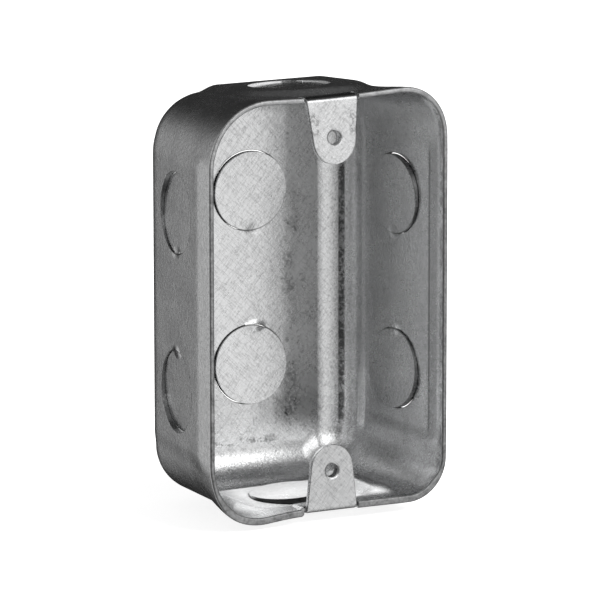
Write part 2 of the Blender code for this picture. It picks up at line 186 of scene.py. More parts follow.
# The floor is white paper: it shows white to the camera and keeps the box's soft shadow.
floor_mesh = bpy.data.meshes.new("floor")
corners = [(x * FLOOR_REACH, y * FLOOR_REACH, FLOOR_HEIGHT) for x, y in ((-1, -1), (1, -1), (1, 1), (-1, 1))]
floor_mesh.from_pydata(corners, [], [(0, 1, 2, 3)])
floor = bpy.data.objects.new("floor", floor_mesh)
bpy.context.scene.collection.objects.link(floor)
floor.visible_glossy = False
floor_paint = bpy.data.materials.new("floor_paint")
floor_paint.use_nodes = True
tree = floor_paint.node_tree
tree.nodes.clear()
paint = node(tree, "ShaderNodeBsdfDiffuse", {}, {"Color": (0.5, 0.5, 0.5, 1.0)})
lit = node(tree, "ShaderNodeEmission", {}, {
    "Color": (1.0, 1.0, 1.0, 1.0), "Strength": seen_or_mirrored(tree) * 0.8})
surface = node(tree, "ShaderNodeAddShader", {}, {0: paint, 1: lit})
node(tree, "ShaderNodeOutputMaterial", {}, {"Surface": surface})
floor_mesh.materials.append(floor_paint)

# A soft panel above the front right lights the floor round the box; the steel mirrors the dome.
PANEL_PLACE = Vector((0.9, -1.3, 1.6))
panel_light = bpy.data.lights.new("front_panel", "AREA")
panel_light.size = 1.4
panel_light.energy = 100.0
front_panel = bpy.data.objects.new("front_panel", panel_light)
bpy.context.scene.collection.objects.link(front_panel)
front_panel.visible_glossy = False
front_panel.location = PANEL_PLACE
front_panel.rotation_euler = (-PANEL_PLACE).to_track_quat("-Z", "Y").to_euler()


# The drawn cup. One sheet of galvanised steel is drawn into a round-cornered cup, flats are pressed
# outwards on its sides and ends for the knockouts, the rim is trimmed and its edges rolled slightly
# over, and the knockout holes and the notches beside the ears are cut through.
SHEET = 1.6 * MM
BOX_WIDTH = 66.6 * MM
BOX_HEIGHT = 104.0 * MM
BOX_DEPTH = 44.5 * MM
RIM_CORNER_RADIUS = {("right", "top"): 13.0 * MM, ("left", "top"): 16.7 * MM,
                     ("left", "bottom"): 16.4 * MM, ("right", "bottom"): 11.0 * MM}
BACK_CORNER_RADIUS = {"top": 12.7 * MM, "bottom": 10.9 * MM}
BACK_FILLET = 10.6 * MM
FILLET_LEAD = 1.0 * MM
SIDE_DRAFT = math.radians(5.4)
END_DRAFT = {"top": math.radians(3.3), "bottom": math.radians(1.2)}
RIM_ROUNDING = 0.55 * MM
RIM_SHEET = 1.25 * MM
RIM_SHEET_BELOW = 1.9 * MM
RIM_THINNING_DEPTH = 3.0 * MM
THICK_RIM_FROM = 0.42 * BOX_HEIGHT
THICK_RIM_BLEND = 0.06 * BOX_HEIGHT
RIM_WEAR_DEPTH = 0.50 * MM
RIM_WEAR_BLEND = 0.30 * MM
PANEL_FRONT_EDGE = 6.8 * MM
SIDE_PANEL_MARGIN = 17.0 * MM
SIDE_PANEL_RISE = 0.0 * MM
SIDE_PANEL_DRAFT = math.radians(6.0)
SIDE_PANEL_CORNER = 6.0 * MM
SIDE_PANEL_RAMP = 4.5 * MM
SIDE_PANEL_KINK = 0.9 * MM
END_PANEL_MARGIN = {("right", "top"): 17.5 * MM, ("left", "top"): 20.5 * MM,
                    ("left", "bottom"): 18.4 * MM, ("right", "bottom"): 18.4 * MM}
END_PANEL_RISE = {"top": 1.33 * MM, "bottom": 1.78 * MM}
END_PANEL_FRONT = {"top": 6.8 * MM, "bottom": 9.5 * MM}
END_PANEL_DRAFT = {"top": math.radians(3.9), "bottom": math.radians(0.3)}
END_PANEL_CORNER = {"top": 11.8 * MM, "bottom": 6.0 * MM}
END_PANEL_RAMP = {"top": 5.1 * MM, "bottom": 4.5 * MM}
END_SKEW = math.radians(0.4)
RIM_SPRING = {("right", "top"): 1.1 * MM, ("left", "top"): 0.7 * MM,
              ("left", "bottom"): 3.3 * MM, ("right", "bottom"): 0.5 * MM}
RIM_SPRING_POWER = {("right", "top"): 1.0, ("left", "top"): 1.0,
                    ("left", "bottom"): 1.7, ("right", "bottom"): 1.0}
RIM_STEP = {("right", "top"): 0.05 * MM, ("left", "top"): 0.0,
            ("left", "bottom"): 0.62 * MM, ("right", "bottom"): 0.2 * MM}
RIM_SPRING_DEPTH = 15.0 * MM
SIGN = {"right": 1.0, "left": -1.0, "top": 1.0, "bottom": -1.0}
KNOCKOUT_HOLE = 20.6 * MM
KNOCKOUT_SPACING = 44.8 * MM
KNOCKOUT_LIP = 0.09 * MM
END_TAB_TURN = {"top": math.radians(50.0), "bottom": math.radians(140.0)}
EAR_BASE_WIDTH = 14.0 * MM
EAR_SHIFT = 0.35 * MM
NOTCH_WIDTH = 0.7 * MM
NOTCH_DEPTH = 3.2 * MM
NOTCH_HEIGHT = 3.0 * SHEET
NOTCH_COLUMNS = np.array([0.05, 0.4, 0.75]) * MM
BEND_CUT_DEPTH = 1.6 * MM
EAR_CLEARANCE = 0.1 * MM
CUT_OVER = 2.0 * MM
FILLET_STEPS = 14
CORNER_STEPS = 22


def smooth_step(t):
    """3t^2 - 2t^3 between 0 and 1, and level outside."""
    t = np.clip(t, 0.0, 1.0)
    return t * t * (3.0 - 2.0 * t)


def steps_between(*zones):
    """Stations through (start, steps) zones, ending at the last start."""
    stations = [np.linspace(start, end, steps, endpoint=False)
                for (start, steps), (end, _) in zip(zones, zones[1:])]
    return np.append(np.concatenate(stations), zones[-1][0])


def tangent_depth(draft):
    """Depth at which a wall of this draft runs into the back's fillet."""
    return BOX_DEPTH - BACK_FILLET * (1.0 - np.sin(draft))


def fillet_rows(draft):
    """The arc from the wall to the back: the depth of each row, and how far it moves in."""
    share = (np.arange(FILLET_STEPS) + 1.0)[:, None] / FILLET_STEPS
    turn = draft + share * (math.pi / 2 - draft)
    return BOX_DEPTH - BACK_FILLET * (1.0 - np.sin(turn)), BACK_FILLET * (np.cos(draft) - np.cos(turn))


def cup_section(side_z, end_x, depth, end_draft, rim_radius, back_radius):
    """Quarter of a rounded rectangle for each depth, and the direction of its outward normal.

    The corner's radius goes evenly from the rim's to the back's, and its centre moves in with the
    drafts. The columns have fixed z on the side, even turns in the corner and fixed x on the end.
    """
    radius = rim_radius + (back_radius - rim_radius) * depth / BOX_DEPTH
    centre_x = BOX_WIDTH / 2 - depth * math.tan(SIDE_DRAFT) - radius
    centre_z = BOX_HEIGHT / 2 - depth * math.tan(end_draft) - radius
    first, last = len(side_z), len(end_x)
    on_side = np.arcsin(np.clip((side_z - centre_z[:, :first]) / radius[:, :first], 0.0, 1.0))
    on_end = np.arccos(np.clip((end_x - centre_x[:, -last:]) / radius[:, -last:], 0.0, 1.0))
    share = (np.arange(CORNER_STEPS - 1) + 1.0) / CORNER_STEPS
    on_corner = on_side[:, -1:] + share * (on_end[:, :1] - on_side[:, -1:])
    angle = np.concatenate([on_side, on_corner, on_end], axis=1)
    x = centre_x + radius * np.cos(angle)
    z = centre_z + radius * np.sin(angle)
    z[:, :first] = side_z
    x[:, -last:] = end_x
    return x, z, angle


def panel_mask(along, depth, half_length, front_edge, corner, ramp, to_rim):
    """1 on a pressed flat with round front corners, falling smoothly to 0 across its ramp."""
    across = np.maximum(np.abs(along) - (half_length - corner), 0.0)
    forward = np.maximum(front_edge + corner - depth, 0.0) * (0.0 if to_rim else 1.0)
    return smooth_step(1.0 - (np.hypot(across, forward) - corner) / ramp)


def panel_rows(half_size, rise, draft, wall_depths, kink):
    """A pressed flat's rows. With a kink, the wall is straight in front of the flat and turns over it."""
    wall = np.append(wall_depths, tangent_depth(draft))[:, None]
    turned_depth, inset = fillet_rows(draft)
    past = wall - PANEL_FRONT_EDGE
    if kink:
        past = np.where(np.abs(past) < kink, (past + kink) ** 2 / (4 * kink), np.maximum(past, 0.0))
    plane = half_size + rise - past * math.tan(draft)
    return np.concatenate([plane, plane[-1] - inset]), np.concatenate([wall, turned_depth])


def quarter_skin(hand, end_name, pressed):
    """Rows from the rim to the flat back and columns round a quarter of the cup's outside.

    A point is the plain cup's, drawn towards the pressed flats by their masks, and its end then
    rises by the rim's spring and the ends' skew. pressed is 1 for the cup with its flats pressed
    out and 0 for the plain cup.
    """
    end_draft = END_DRAFT[end_name]
    side_edge = BOX_HEIGHT / 2 - SIDE_PANEL_MARGIN
    end_edge = BOX_WIDTH / 2 - END_PANEL_MARGIN[hand, end_name]
    end_ramp, end_corner = END_PANEL_RAMP[end_name], END_PANEL_CORNER[end_name]
    radii = RIM_CORNER_RADIUS[hand, end_name], BACK_CORNER_RADIUS[end_name]
    side_z = steps_between((0.0, 14), (side_edge - SIDE_PANEL_CORNER, 9), (side_edge, 9),
                           (side_edge + SIDE_PANEL_RAMP, 0))
    end_x = steps_between((end_edge + end_ramp, 10), (end_edge, 10), (end_edge - end_corner, 5), (0.0, 0))
    end_x = np.sort(np.append(end_x, EAR_BASE_WIDTH / 2 + EAR_SHIFT + NOTCH_COLUMNS))[::-1]
    wall_depths = steps_between(
        (RIM_ROUNDING, 6), (PANEL_FRONT_EDGE - max(END_PANEL_RAMP.values()), 14), (PANEL_FRONT_EDGE, 14),
        (PANEL_FRONT_EDGE + max(END_PANEL_CORNER.values()), 9), (tangent_depth(SIDE_DRAFT) - FILLET_LEAD, 0))
    columns = len(side_z) + CORNER_STEPS - 1 + len(end_x)
    wall = np.repeat(np.append(wall_depths, tangent_depth(SIDE_DRAFT))[:, None], columns, axis=1)
    angle = cup_section(side_z, end_x, wall, end_draft, *radii)[2][-1]
    draft = SIDE_DRAFT + (end_draft - SIDE_DRAFT) * np.sin(angle) ** 2
    wall[-1] = tangent_depth(draft)
    x, z, angle = cup_section(side_z, end_x, wall, end_draft, *radii)
    turned_depth, inset = fillet_rows(draft)
    x = np.concatenate([x, x[-1] - np.cos(angle[-1]) * inset])
    z = np.concatenate([z, z[-1] - np.sin(angle[-1]) * inset])
    depth = np.concatenate([wall, turned_depth])

    last_wall_row = len(wall_depths)
    row = np.minimum(np.arange(len(depth)), last_wall_row)
    wall_x, wall_z = x[last_wall_row], z[last_wall_row]
    side = panel_mask(z[row], wall[row], side_edge, PANEL_FRONT_EDGE, SIDE_PANEL_CORNER,
                      SIDE_PANEL_RAMP, True)
    end = panel_mask(x[row], wall[row], end_edge, END_PANEL_FRONT[end_name], end_corner,
                     end_ramp, False)
    side, end = side * pressed, end * pressed
    side_x, side_depth = panel_rows(BOX_WIDTH / 2, SIDE_PANEL_RISE, SIDE_PANEL_DRAFT, wall_depths,
                                    SIDE_PANEL_KINK)
    end_z, end_depth = panel_rows(BOX_HEIGHT / 2, END_PANEL_RISE[end_name], END_PANEL_DRAFT[end_name],
                                  wall_depths, 0.0)
    in_fillet = (np.arange(len(depth)) > last_wall_row)[:, None]
    x = x + side * (side_x - x) + end * np.where(in_fillet, wall_x - x, 0.0)
    z = z + end * (end_z - z) + side * np.where(in_fillet, wall_z - z, 0.0)
    depth = depth + side * (side_depth - depth) + end * (end_depth - depth)

    at_end = smooth_step(z / (BOX_HEIGHT / 2) * 2.0 - 1.0)
    across = np.clip((x - EAR_BASE_WIDTH / 2) / (BOX_WIDTH / 2 - EAR_BASE_WIDTH / 2), 0.0, 1.0)
    beside_ear = smooth_step((x - EAR_BASE_WIDTH / 2) / NOTCH_WIDTH)
    sprung = (RIM_SPRING[hand, end_name] * across ** RIM_SPRING_POWER[hand, end_name]
              + RIM_STEP[hand, end_name] * beside_ear) * smooth_step(1.0 - depth / RIM_SPRING_DEPTH)
    skewed = SIGN[hand] * SIGN[end_name] * math.tan(END_SKEW) * x
    z = z + at_end * (sprung + skewed)
    return np.stack([SIGN[hand] * x, depth - BOX_DEPTH, SIGN[end_name] * z], axis=-1)


def whole_skin(pressed):
    """The four quarters end to end, as one ring of columns."""
    ring = []
    for hand, end_name, turned in (("right", "top", False), ("left", "top", True),
                                   ("left", "bottom", False), ("right", "bottom", True)):
        quarter = quarter_skin(hand, end_name, pressed)
        ring.append((quarter[:, ::-1] if turned else quarter)[:, :-1])
    return np.concatenate(ring, axis=1)


def sheet_surfaces():
    """Outer skin, and the inner skin one sheet's thickness behind it, as one closed ribbon of rows.

    The sheet's thickness is laid off square to the plain cup, so it thins on the flats' ramps. The
    press has drawn it thinner at the rim's top and gathered it below; the rim's edges are quarter
    circles.
    """
    outer, plain = whole_skin(1.0), whole_skin(0.0)
    round_it = np.roll(plain, -1, axis=1) - np.roll(plain, 1, axis=1)
    down_it = np.gradient(plain, axis=0)
    normal = np.cross(round_it, down_it)
    normal /= np.linalg.norm(normal, axis=-1, keepdims=True)
    # The first column is the right side's middle, where inwards is -X
    normal *= -np.sign(normal[len(normal) // 4, 0, 0])
    normal[-1] = (0.0, -1.0, 0.0)
    thinned = smooth_step((outer[:, :, 1:2] + BOX_DEPTH) / RIM_THINNING_DEPTH)
    below = smooth_step((-outer[:, :, 2:3] - THICK_RIM_FROM) / THICK_RIM_BLEND)
    rim_sheet = RIM_SHEET + (RIM_SHEET_BELOW - RIM_SHEET) * below
    inner = outer + normal * (rim_sheet + (SHEET - rim_sheet) * thinned)
    inner[0] = inner[1] + (inner[0] - inner[1]) * ((inner[1, :, 1] - outer[0, :, 1])
                                                   / (inner[1, :, 1] - inner[0, :, 1]))[:, None]
    turns = np.linspace(0.0, math.pi / 2, 7)[1:]
    rim = [(RIM_ROUNDING * (1.0 - math.cos(t)), -RIM_ROUNDING * math.sin(t)) for t in turns]
    reach = np.linalg.norm(inner[0] - outer[0], axis=-1, keepdims=True)
    across = (inner[0] - outer[0]) / reach
    down = np.array([0.0, 1.0, 0.0])
    outer_rim = [outer[0] + across * w + down * h for w, h in rim]
    inner_rim = [outer[0] + across * (reach - w) + down * h for w, h in rim]
    return np.concatenate([outer[::-1], np.stack(outer_rim), np.stack(inner_rim[::-1]), inner])


def ribbon_mesh(name, rows):
    """Quads between the rows, closed round the ring, with a flat face at each end of the ribbon."""
    count, columns = rows.shape[:2]
    at = np.arange(count * columns).reshape(count, columns)
    after = np.roll(at, -1, axis=1)
    quads = np.stack([at[:-1], after[:-1], after[1:], at[1:]], axis=-1).reshape(-1, 4)
    mesh = bpy.data.meshes.new(name)
    ends = [at[0][::-1].tolist(), at[-1].tolist()]
    mesh.from_pydata(rows.reshape(-1, 3).tolist(), [], quads.tolist() + ends)
    mesh.validate()
    bm = bmesh.new()
    bm.from_mesh(mesh)
    bmesh.ops.remove_doubles(bm, verts=bm.verts, dist=0.000001)
    bmesh.ops.recalc_face_normals(bm, faces=bm.faces)
    bm.to_mesh(mesh)
    bm.free()
    made = bpy.data.objects.new(name, mesh)
    bpy.context.scene.collection.objects.link(made)
    return made


def axes_frame(axis_x, axis_y, axis_z, origin):
    """The matrix whose columns are three axes and an origin."""
    made = Matrix((axis_x, axis_y, axis_z)).transposed().to_4x4()
    made.translation = origin
    return made


def knockout_frame(x, depth, z, outward, to_tab):
    """Origin on the flat's outer face, z axis outwards, x axis towards the disc's tab."""
    axis_z = Vector(outward).normalized()
    axis_x = (Vector(to_tab) - axis_z * axis_z.dot(Vector(to_tab))).normalized()
    return axes_frame(axis_x, axis_z.cross(axis_x), axis_z, (x, depth - BOX_DEPTH, z))


def knockout_frames():
    """The eight knockouts by name; each disc's tab points towards the box's middle, or is turned."""
    depth = (BOX_DEPTH - SHEET) / 2
    height = KNOCKOUT_SPACING / 2
    side_x = BOX_WIDTH / 2 + SIDE_PANEL_RISE - (depth - PANEL_FRONT_EDGE) * math.tan(SIDE_PANEL_DRAFT)
    frames = {}
    for level, sign in (("upper", 1.0), ("lower", -1.0)):
        frames["back_" + level] = knockout_frame(
            0.0, BOX_DEPTH, sign * height, (0.0, 1.0, 0.0), (0, 0, -sign))
        for hand in ("left", "right"):
            frames[hand + "_" + level] = knockout_frame(
                SIGN[hand] * side_x, depth, sign * height,
                (SIGN[hand] * math.cos(SIDE_PANEL_DRAFT), math.sin(SIDE_PANEL_DRAFT), 0.0), (0, 0, -sign))
    for name, turn in END_TAB_TURN.items():
        draft = END_PANEL_DRAFT[name]
        end_z = BOX_HEIGHT / 2 + END_PANEL_RISE[name] - (depth - PANEL_FRONT_EDGE) * math.tan(draft)
        frames[name] = knockout_frame(
            0.0, depth, SIGN[name] * end_z, (-SIGN[name] * math.tan(END_SKEW), math.tan(draft), SIGN[name]),
            (math.cos(turn), math.sin(turn), 0.0))
    return frames


def turned_mesh(name, profile, segments, place):
    """A profile of (radius, height) points turned about the z axis of its place, closed at both poles."""
    profile = np.array(profile)
    turn = np.linspace(0.0, 2 * math.pi, segments, endpoint=False)
    ring = profile[1:-1]
    points = np.stack([ring[:, :1] * np.cos(turn), ring[:, :1] * np.sin(turn),
                       np.repeat(ring[:, 1:], segments, axis=1)], axis=-1).reshape(-1, 3)
    points = np.concatenate([points, [[0.0, 0.0, profile[0, 1]], [0.0, 0.0, profile[-1, 1]]]])
    at = np.arange(len(ring) * segments).reshape(len(ring), segments)
    after = np.roll(at, -1, axis=1)
    quads = np.stack([at[:-1], after[:-1], after[1:], at[1:]], axis=-1).reshape(-1, 4).tolist()
    first, last = len(points) - 2, len(points) - 1
    caps = np.concatenate([np.stack([np.full(segments, first), after[0], at[0]], axis=-1),
                           np.stack([np.full(segments, last), at[-1], after[-1]], axis=-1)])
    mesh = bpy.data.meshes.new(name)
    mesh.from_pydata(points.tolist(), [], quads + caps.tolist())
    bm = bmesh.new()
    bm.from_mesh(mesh)
    bmesh.ops.recalc_face_normals(bm, faces=bm.faces)
    bm.transform(place)
    bm.to_mesh(mesh)
    bm.free()
    made = bpy.data.objects.new(name, mesh)
    bpy.context.scene.collection.objects.link(made)
    return made


def hole_profile(radius, lip):
    """A cutter for a sheared hole: straight, with its mouths rounded off at both faces of the sheet."""
    over = 1.0 * MM
    turns = np.radians([20.0, 45.0, 70.0])
    mouth = [(radius + lip * (1 - math.cos(t)), lip * (math.sin(t) - 1)) for t in turns]
    far = [(r, -SHEET - h) for r, h in reversed(mouth)]
    return ([(0.0, over), (radius + lip, over), (radius + lip, 0.0)] + mouth[::-1]
            + [(radius, -lip), (radius, -SHEET + lip)]
            + far[::-1] + [(radius + lip, -SHEET), (radius + lip, -SHEET - over), (0.0, -SHEET - over)])


def block_mesh(name, low, high, place):
    """A plain block between two corners, put in its place."""
    bm = bmesh.new()
    bmesh.ops.create_cube(bm, size=1.0)
    low, high = Vector(low), Vector(high)
    bmesh.ops.scale(bm, verts=bm.verts, vec=high - low)
    bmesh.ops.translate(bm, verts=bm.verts, vec=(high + low) / 2)
    bm.transform(place)
    mesh = bpy.data.meshes.new(name)
    bm.to_mesh(mesh)
    bm.free()
    made = bpy.data.objects.new(name, mesh)
    bpy.context.scene.collection.objects.link(made)
    return made


def boolean_all(made, operation, tools):
    """Cut or join tools one by one, bake the result into the mesh and drop the tools."""
    for tool in tools:
        step = made.modifiers.new(tool.name, "BOOLEAN")
        step.solver = "EXACT"
        step.operation = operation
        step.object = tool
    settled = bpy.data.meshes.new_from_object(made.evaluated_get(bpy.context.evaluated_depsgraph_get()))
    made.modifiers.clear()
    made.data = settled
    for tool in tools:
        bpy.data.objects.remove(tool, do_unlink=True)


def shade(made, angle):
    """Smooth faces, with a crease wherever two of them meet at more than this angle.

    The normals are weighted by face area, so that a flat stays flat right up to its rounded edge.
    """
    made.data.shade_smooth()
    bm = bmesh.new()
    bm.from_mesh(made.data)
    for edge in bm.edges:
        edge.smooth = len(edge.link_faces) == 2 and edge.calc_face_angle(0.0) < angle
    bm.to_mesh(made.data)
    bm.free()
    weighted = made.modifiers.new("flat_faces", "WEIGHTED_NORMAL")
    weighted.keep_sharp = True
    settled = bpy.data.meshes.new_from_object(made.evaluated_get(bpy.context.evaluated_depsgraph_get()))
    made.modifiers.clear()
    made.data = settled


def vertex_array(mesh, name):
    """A vector of every vertex, such as co or normal, as rows of three."""
    values = np.empty(3 * len(mesh.vertices), dtype=np.float32)
    mesh.vertices.foreach_get(name, values)
    return values.reshape(-1, 3)


drawn_cup = ribbon_mesh("drawn_cup", sheet_surfaces())
cutters = [turned_mesh(name + "_hole", hole_profile(KNOCKOUT_HOLE / 2, KNOCKOUT_LIP), 96, place)
           for name, place in knockout_frames().items()]
half_base = EAR_BASE_WIDTH / 2
for name, half_turn in (("upper", 0.0), ("lower", math.pi)):
    turn = Matrix.Translation((EAR_SHIFT, 0.0, 0.0)) @ Matrix.Rotation(half_turn, 4, "Y")
    for part, start, end, depth in (("left", -half_base - NOTCH_WIDTH, -half_base, NOTCH_DEPTH),
                                    ("right", half_base, half_base + NOTCH_WIDTH, NOTCH_DEPTH),
                                    ("ear", -half_base - EAR_CLEARANCE, half_base + EAR_CLEARANCE,
                                     BEND_CUT_DEPTH)):
        cutters.append(block_mesh(name + part, (start, -BOX_DEPTH - CUT_OVER, BOX_HEIGHT / 2 - NOTCH_HEIGHT),
                                  (end, -BOX_DEPTH + depth, BOX_HEIGHT / 2 + NOTCH_HEIGHT), turn))
boolean_all(drawn_cup, "DIFFERENCE", cutters)
shade(drawn_cup, math.radians(28.0))

# The sheared rim is duller than the skin: 1 on its face, fading over its rounded edges
rim_wear = drawn_cup.data.attributes.new("rim_wear", "FLOAT", "POINT")
depths = vertex_array(drawn_cup.data, "co")[:, 1] + BOX_DEPTH
rim_wear.data.foreach_set("value", smooth_step((RIM_WEAR_DEPTH - depths) / RIM_WEAR_BLEND))

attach(drawn_cup, "root")
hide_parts("wall_box")


# The knockout discs. Each is sheared out of the same sheet and hangs on one uncut tab; the punch has
# pushed it a little inwards, so its edge shows as a bright arc beside a dark gap. Its face edge is
# rolled over by the die and its inner edge is sharp.
SHEAR_GAP = 0.17 * MM
DISC_SINK_AT_TAB = 0.3 * MM
DISC_TILT = math.radians(2.8)
BOTTOM_DISC_TILT = math.radians(4.2)
TAB_WIDTH = 3.0 * MM
TAB_GRIP = 0.55 * MM
TAB_TAPER = 0.8
TAB_SINK = 0.06 * MM
TAB_INSET = 0.01 * MM
DISC_DISH = 0.10 * MM
DISC_ROLL = 0.12 * MM
DISC_BACK_BREAK = 0.05 * MM


def disc_profile(radius):
    """Half section of a disc: a parabola for its dish, and a quarter circle at its outer edge."""
    rolled = radius - DISC_ROLL
    radii = np.linspace(0.0, rolled, 9)
    front = [(r, -DISC_DISH * (r / radius) ** 2) for r in radii]
    turns = np.radians(np.linspace(15.0, 90.0, 5))
    edge = [(rolled + DISC_ROLL * math.sin(t), front[-1][1] - DISC_ROLL * (1 - math.cos(t))) for t in turns]
    back = [(radius, -SHEET - DISC_DISH + DISC_ROLL / 2),
            (radius - DISC_BACK_BREAK, -SHEET - DISC_DISH)]
    inside = [(r, -SHEET - DISC_DISH * (r / radius) ** 2) for r in radii[::-1]]
    return front + edge + back + inside


discs = []
tabs = []
hole_radius = KNOCKOUT_HOLE / 2
for name, place in knockout_frames().items():
    hinge = Matrix.Translation((hole_radius, 0.0, -DISC_SINK_AT_TAB))
    tilt = BOTTOM_DISC_TILT if name == "bottom" else DISC_TILT
    swing = place @ hinge @ Matrix.Rotation(-tilt, 4, "Y") @ Matrix.Translation((-hole_radius, 0.0, 0.0))
    discs.append(turned_mesh(name + "_disc", disc_profile(hole_radius - SHEAR_GAP), 96, swing))
    tab = block_mesh(name + "_tab",
                     (hole_radius - SHEAR_GAP - TAB_GRIP, -TAB_WIDTH / 2, -SHEET + TAB_INSET),
                     (hole_radius + TAB_GRIP, TAB_WIDTH / 2, -TAB_INSET), Matrix())
    for vertex in tab.data.vertices:
        if vertex.co.x < hole_radius:
            vertex.co.z -= DISC_SINK_AT_TAB + (0.0 if vertex.co.z < -SHEET / 2 else TAB_SINK)
            vertex.co.y *= TAB_TAPER
    tab.data.transform(place)
    tabs.append(tab)


def join(name, made):
    """One object out of several, with their meshes side by side."""
    bm = bmesh.new()
    for one in made:
        bm.from_mesh(one.data)
    mesh = bpy.data.meshes.new(name)
    bm.to_mesh(mesh)
    bm.free()
    whole = bpy.data.objects.new(name, mesh)
    bpy.context.scene.collection.objects.link(whole)
    for one in made:
        bpy.data.objects.remove(one, do_unlink=True)
    return whole


knockout_discs = join("knockout_discs", discs + tabs)
shade(knockout_discs, math.radians(30.0))
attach(knockout_discs, "root")
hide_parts("wall_box")


# The ears. A tab of the rim is bent square over the opening at each end and ends in a round tip; its
# hole is drawn through into a short collar behind, dimpled at its mouth, and tapped for the screw.
# The upper ear is bent a little short of a right angle, and the lower one is square.
EAR_HOLE_SPACING = 83.34 * MM
EAR_PROUD = 0.35 * MM
EAR_SHEET = 1.25 * MM
EAR_TIP_RADIUS = 5.9 * MM
EAR_TIP_END = 0.02 * MM
EAR_REACH = 6.5 * MM
EAR_ROLL = 0.28 * MM
EAR_SLOPE = {"upper_ear": math.radians(1.3), "lower_ear": math.radians(-0.3)}
EAR_LEAN = {"upper_ear": math.radians(8.0), "lower_ear": 0.0}
EAR_ROOT = 5.4 * MM
EAR_BEND_RADIUS = 0.1 * MM
EAR_BEND = EAR_BEND_RADIUS + EAR_SHEET
EAR_BEND_MIDDLE = EAR_BEND_RADIUS + EAR_SHEET / 2
EAR_BEND_Z = BOX_HEIGHT / 2 - EAR_BEND
EAR_LEG = EAR_ROOT + EAR_PROUD - EAR_BEND
EAR_FRONT_Y = -BOX_DEPTH - EAR_PROUD
TAPPED_BORE = 3.1 * MM
BORE_MOUTH = 4.8 * MM
THREAD_PITCH = 0.79 * MM
THREAD_DEPTH = 0.22 * MM
THREAD_START = 0.1 * MM
THREAD_RUNOUT = 0.3 * MM
COLLAR_DIAMETER = 5.2 * MM
COLLAR_HEIGHT = 0.9 * MM
COLLAR_BREAK = 0.15 * MM


def ear_blank(arc):
    """The flat blank: length s from the root round the bend to the tip, width w and height in the sheet.

    Rows run along s; each row's half width is the base width on the leg and bend, then the straight
    flank that leans in to the tip's circle, then the circle. The section runs over the front face
    and back over the rear one, with a quarter circle at each long edge.
    """
    flank = EAR_BEND_Z - EAR_HOLE_SPACING / 2 + EAR_REACH - EAR_TIP_RADIUS
    base = EAR_BASE_WIDTH / 2
    start = math.atan2(flank, base) - math.acos(EAR_TIP_RADIUS / math.hypot(flank, base))
    flank_end = flank - EAR_TIP_RADIUS * math.sin(start)
    tip_turns = np.linspace(start, -math.pi / 2, 22)
    s = np.concatenate([
        np.linspace(0.0, EAR_LEG, 4)[:-1], EAR_LEG + np.linspace(0.0, arc, 10)[:-1],
        EAR_LEG + arc + np.linspace(0.0, flank_end, 14)[:-1],
        EAR_LEG + arc + flank - EAR_TIP_RADIUS * np.sin(tip_turns)])
    on_flat = s - EAR_LEG - arc
    narrowing = (EAR_TIP_RADIUS * math.cos(start) - base) * np.clip(on_flat / flank_end, 0.0, 1.0)
    round_tip = np.sqrt(np.maximum(EAR_TIP_RADIUS ** 2 - (on_flat - flank) ** 2, 0.0))
    half_width = np.where(on_flat > flank_end, round_tip, base + narrowing)
    half_width[-1] = EAR_TIP_END

    quarter = np.linspace(0.0, math.pi / 2, 5)
    flats = np.linspace(-1.0, 1.0, 15)[1:-1]
    rounded_in, rounded_up = EAR_ROLL * (1.0 - np.cos(quarter)), EAR_ROLL * (1.0 - np.sin(quarter))
    share = np.concatenate([np.full(5, -1.0), flats, np.full(5, 1.0)])
    inset = np.concatenate([rounded_in, np.full(13, EAR_ROLL), rounded_in[::-1]])
    height = np.concatenate([rounded_up, np.zeros(13), rounded_up[::-1]])
    share = np.concatenate([share, share[::-1]])
    inset = np.tile(inset, 2)
    height = np.concatenate([height, EAR_SHEET - height])
    return s[:, None], share * np.maximum(half_width[:, None] - inset, 0.0), height[None, :]


